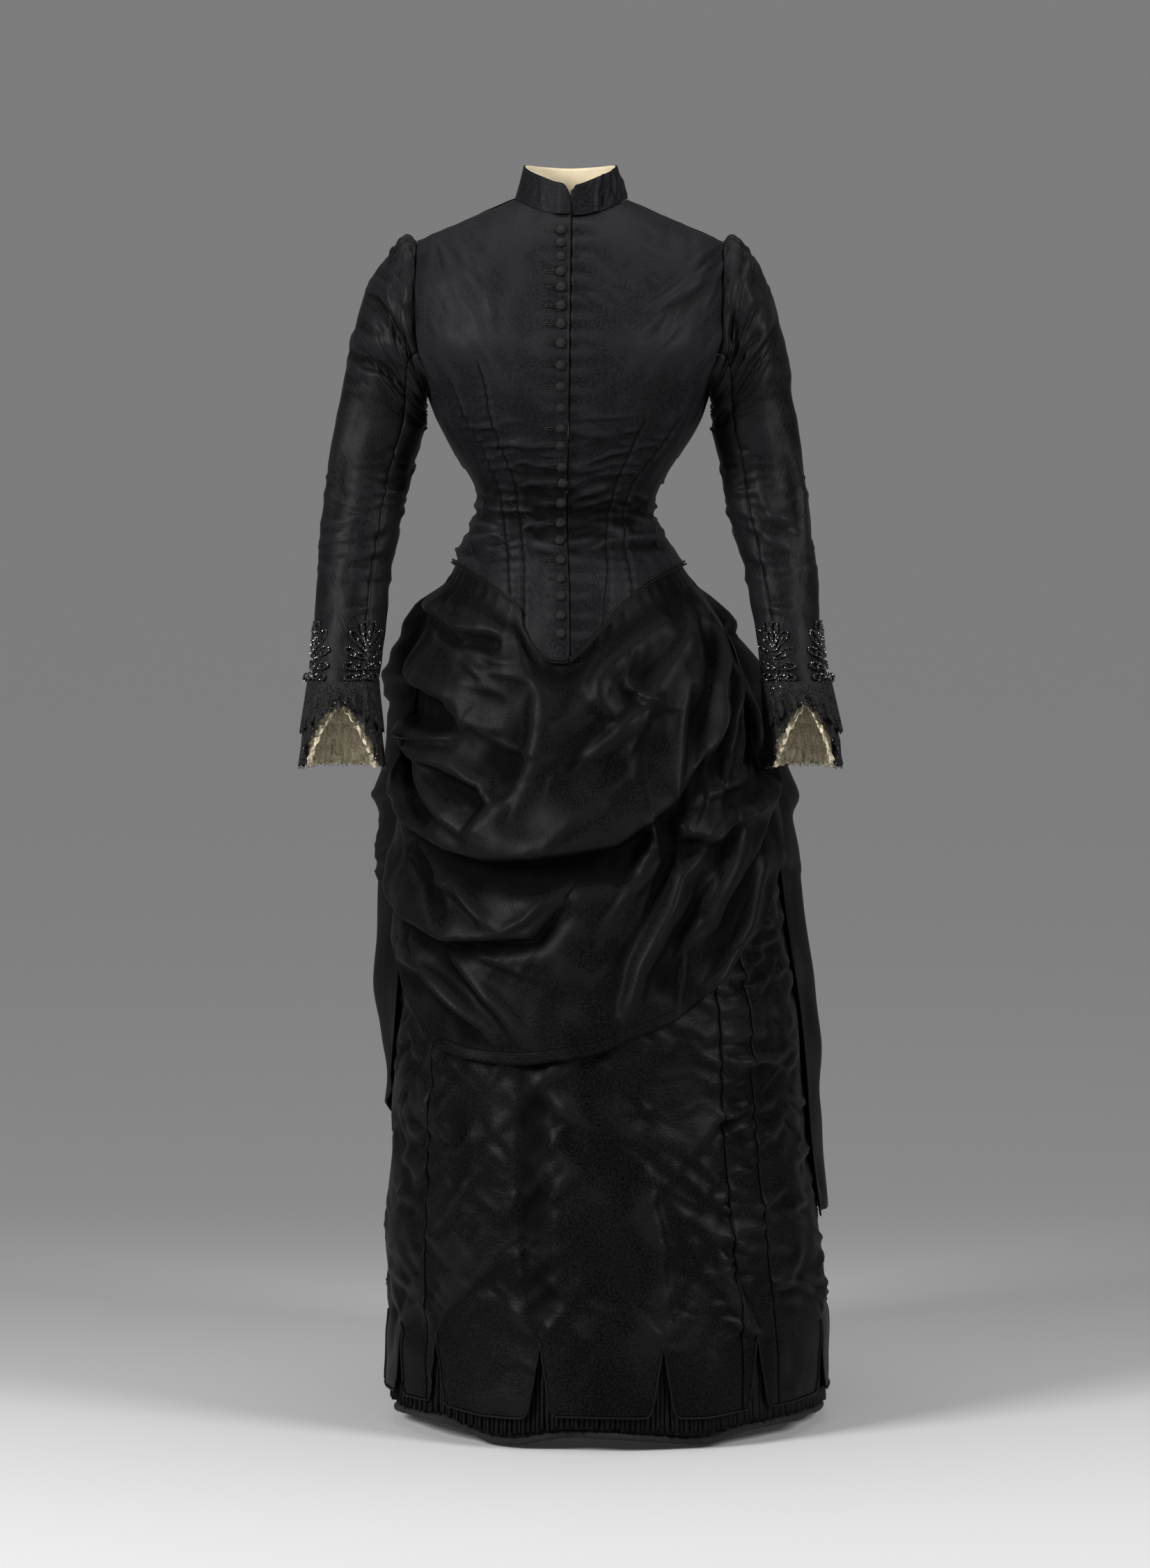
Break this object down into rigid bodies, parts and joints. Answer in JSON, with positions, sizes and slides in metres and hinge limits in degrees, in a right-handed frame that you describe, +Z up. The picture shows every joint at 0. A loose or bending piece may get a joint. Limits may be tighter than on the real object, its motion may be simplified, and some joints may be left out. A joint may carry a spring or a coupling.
{
  "type": "bustle dress",
  "caption": "Black silk satin bustle dress in its worn form: buttoned bodice, draped apron and back, skirt cut in tabs over a pleated flounce.",
  "frame": {"origin": "midway between the wearer's shoulders, at the height of the shoulder points", "axes": "+Z up, -Y towards the centre front, +X towards the wearer's left"},
  "size_m": [0.564, 0.6591, 1.3234],
  "materials": {
    "satin": "black silk satin",
    "twill": "black silk twill",
    "lining": "cream cotton lining",
    "crepe": "black lace and crepe frill",
    "lace": "cream ruched lace",
    "jet": "black jet beads",
    "button": "thread-covered buttons",
    "cotton": "black foundation cotton",
    "braid": "wool hem braid"
  },
  "bodies": {
    "root": {"apron_drape": "satin", "back_drape": "satin", "skirt_front": "satin", "skirt_gore_left": "satin", "skirt_side_left": "satin", "skirt_side_right": "satin", "skirt_back_left": "satin", "skirt_back_right": "satin", "sleeve_upper_left": "satin", "sleeve_upper_right": "satin", "sleeve_under_left": "satin", "sleeve_under_right": "satin", "flounce_left_front": "satin", "flounce_left_back": "satin", "flounce_right_back": "satin", "flounce_right_front": "satin", "bodice_piping_left": "satin", "bodice_piping_right": "satin", "bodice_front_left": "twill", "bodice_front_right": "twill", "bodice_side_left": "twill", "bodice_side_right": "twill", "bodice_back_left": "twill", "bodice_back_right": "twill", "collar": "twill", "collar_lining": "lining", "cuff_frill_left": "crepe", "cuff_frill_right": "crepe", "cuff_lace_left": "lace", "cuff_lace_right": "lace", "cuff_beads_front_left": "jet", "cuff_beads_front_right": "jet", "cuff_beads_back_left": "jet", "cuff_beads_back_right": "jet", "foundation_band_left": "cotton", "foundation_band_right": "cotton", "hem_braid": "braid", "button_01": "button", "button_02": "button", "button_03": "button", "button_04": "button", "button_05": "button", "button_06": "button", "button_07": "button", "button_08": "button", "button_09": "button", "button_10": "button", "button_11": "button", "button_12": "button", "button_13": "button", "button_14": "button", "button_15": "button", "button_16": "button", "button_17": "button", "button_18": "button", "button_19": "button", "button_20": "button", "button_21": "button", "button_22": "button", "button_23": "button"}
  },
  "joints": []
}
